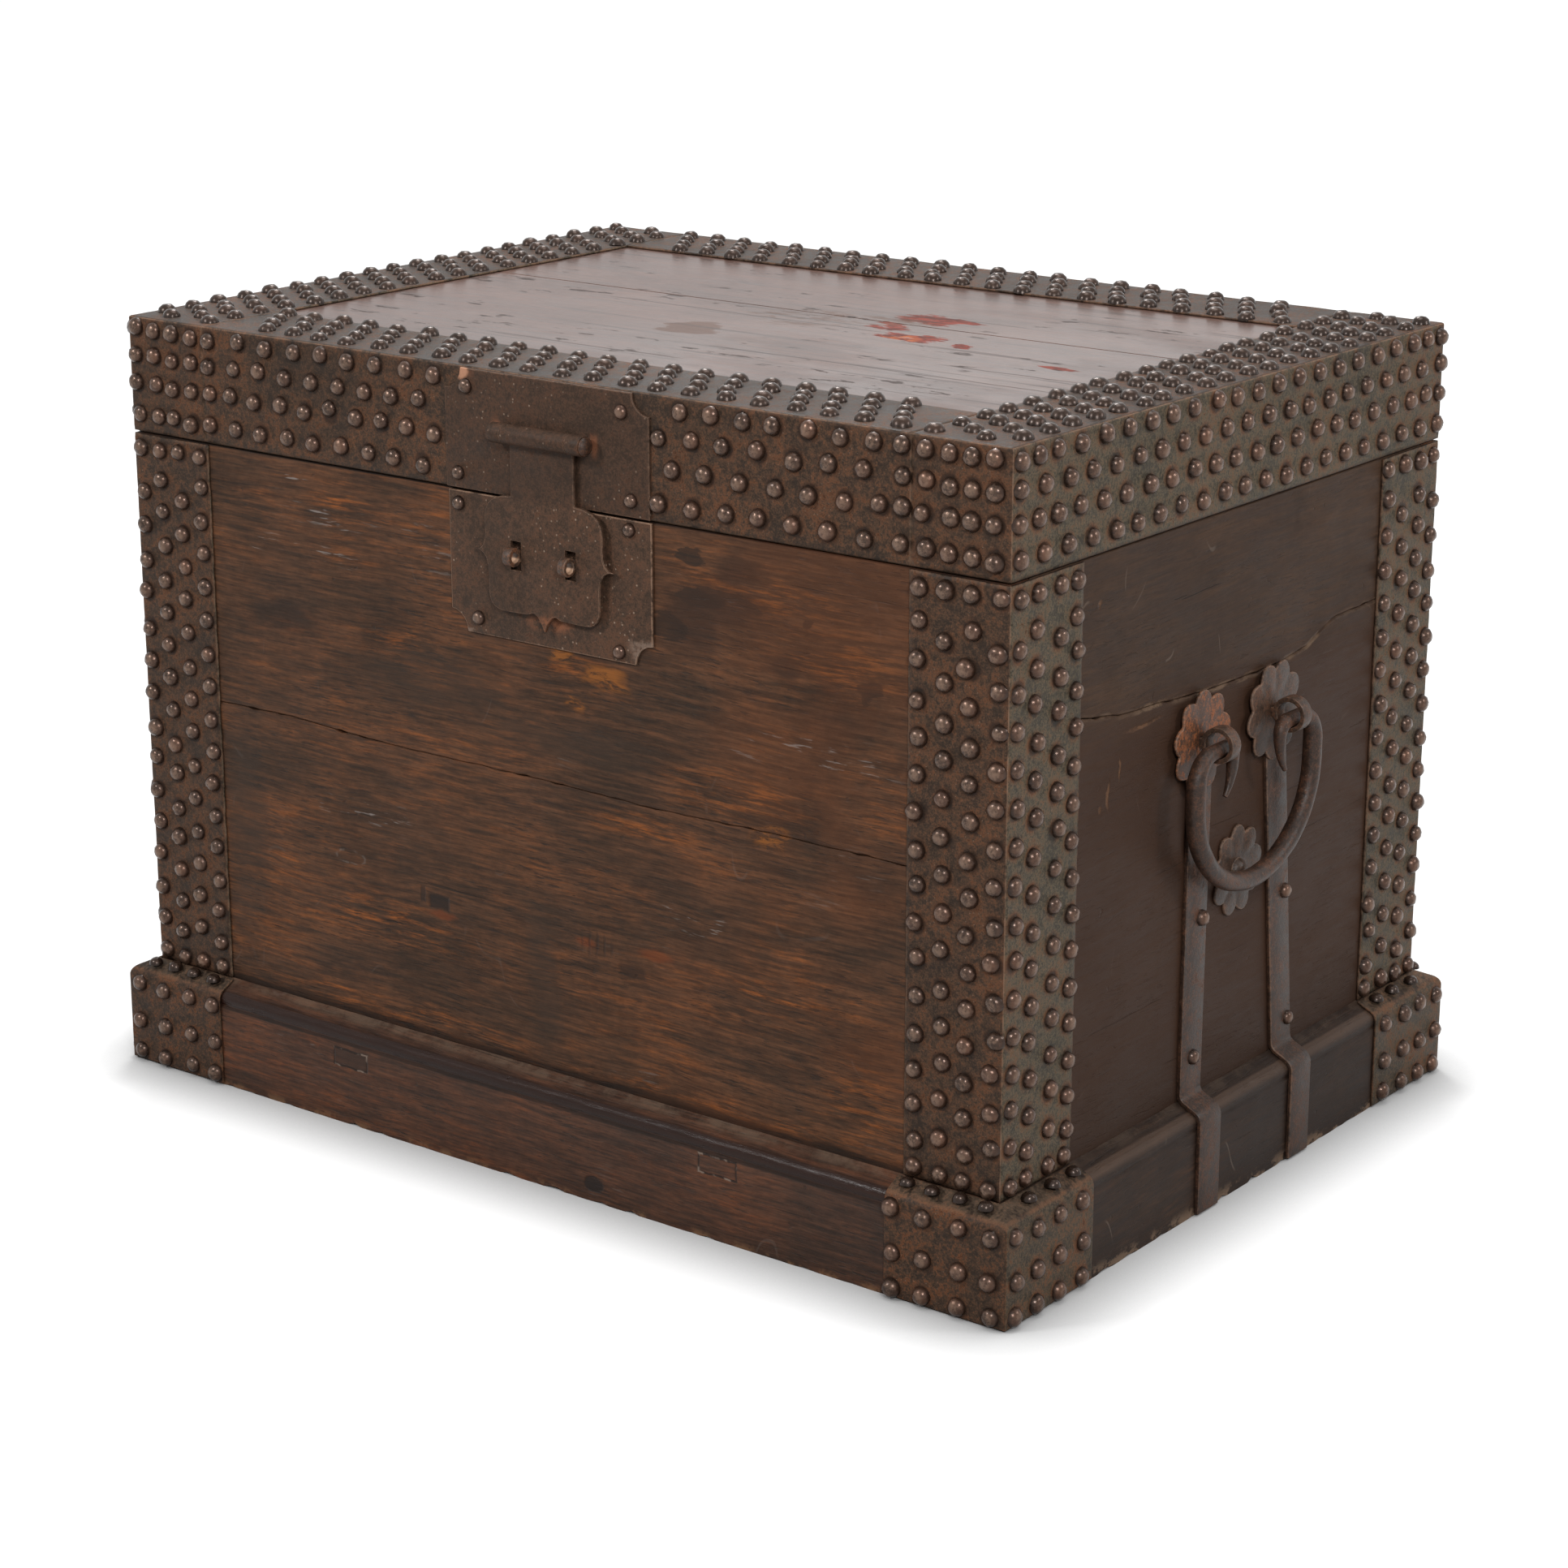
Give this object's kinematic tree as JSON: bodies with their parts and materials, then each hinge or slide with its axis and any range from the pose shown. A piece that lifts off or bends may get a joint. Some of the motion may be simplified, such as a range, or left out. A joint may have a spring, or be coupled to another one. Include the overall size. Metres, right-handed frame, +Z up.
{
  "type": "iron-bound chest",
  "caption": "Studded wooden strongbox with sheet-iron corners, moulded plinth, hinged box lid, barbed hasp over staples and a drop bail handle at each end.",
  "frame": {"origin": "on the floor, under the middle of the chest's bounding box", "axes": "+X to the chest's right end seen from the front, -Y out of the front with the lock, +Z up"},
  "size_m": [0.8616, 0.608, 0.594],
  "materials": {
    "oiled_wood": "worn oiled, semi-gloss",
    "grey_wood": "dull dark oil",
    "top_wood": "polished, worn lacquer",
    "sheet_iron": "brown patina, waxed",
    "forged_iron": "hand-forged, waxed",
    "rusted_iron": "rusted"
  },
  "bodies": {
    "chest": {"back_board_lower": "oiled_wood", "back_board_upper": "oiled_wood", "corner_plate_back_left": "sheet_iron", "corner_plate_back_right": "sheet_iron", "corner_plate_front_left": "sheet_iron", "corner_plate_front_right": "sheet_iron", "floor_board": "grey_wood", "front_board_lower": "oiled_wood", "front_board_upper": "oiled_wood", "hinge_left_body_leaf": "forged_iron", "hinge_left_pin": "forged_iron", "hinge_right_body_leaf": "forged_iron", "hinge_right_pin": "forged_iron", "left_board_lower": "grey_wood", "left_board_upper": "grey_wood", "left_eye_back": "forged_iron", "left_eye_front": "forged_iron", "left_rosette_back": "rusted_iron", "left_rosette_front": "rusted_iron", "left_strap_back": "forged_iron", "left_strap_front": "forged_iron", "left_strike_rosette": "rusted_iron", "lock_plate_lower": "sheet_iron", "plinth_back": "oiled_wood", "plinth_cap_back_left": "sheet_iron", "plinth_cap_back_right": "sheet_iron", "plinth_cap_front_left": "sheet_iron", "plinth_cap_front_right": "sheet_iron", "plinth_front": "oiled_wood", "plinth_left": "grey_wood", "plinth_right": "grey_wood", "right_board_lower": "grey_wood", "right_board_upper": "grey_wood", "right_eye_back": "forged_iron", "right_eye_front": "forged_iron", "right_rosette_back": "rusted_iron", "right_rosette_front": "rusted_iron", "right_strap_back": "forged_iron", "right_strap_front": "forged_iron", "right_strike_rosette": "rusted_iron", "staple_left": "forged_iron", "staple_right": "forged_iron"},
    "lid": {"hasp_pin": "rusted_iron", "hinge_left_lid_leaf": "forged_iron", "hinge_right_lid_leaf": "forged_iron", "lid_binding_back": "sheet_iron", "lid_binding_front": "sheet_iron", "lid_binding_left": "sheet_iron", "lid_binding_right": "sheet_iron", "lid_rail_back": "oiled_wood", "lid_rail_front": "oiled_wood", "lid_rail_left": "grey_wood", "lid_rail_right": "grey_wood", "lid_top_plank_back": "top_wood", "lid_top_plank_front": "top_wood", "lock_plate_upper": "sheet_iron"},
    "hasp_leaf": {"hasp": "forged_iron"},
    "left_handle": {"left_bail": "forged_iron"},
    "right_handle": {"right_bail": "forged_iron"}
  },
  "joints": [
    {"name": "lid_hinge", "type": "hinge", "parent": "chest", "child": "lid", "pos_m": [0, 0.2923, 0.50585], "axis": [-1, 0, 0], "range_deg": [0, 105]},
    {"name": "hasp_hinge", "type": "hinge", "parent": "lid", "child": "hasp_leaf", "pos_m": [0.014, -0.2958, 0.553], "axis": [-1, 0, 0], "range_deg": [0, 170]},
    {"name": "left_bail_swing", "type": "hinge", "parent": "chest", "child": "left_handle", "pos_m": [-0.4178, 0, 0.3453], "axis": [0, 1, 0], "range_deg": [0, 165]},
    {"name": "right_bail_swing", "type": "hinge", "parent": "chest", "child": "right_handle", "pos_m": [0.4178, 0, 0.3453], "axis": [0, -1, 0], "range_deg": [0, 165]}
  ]
}
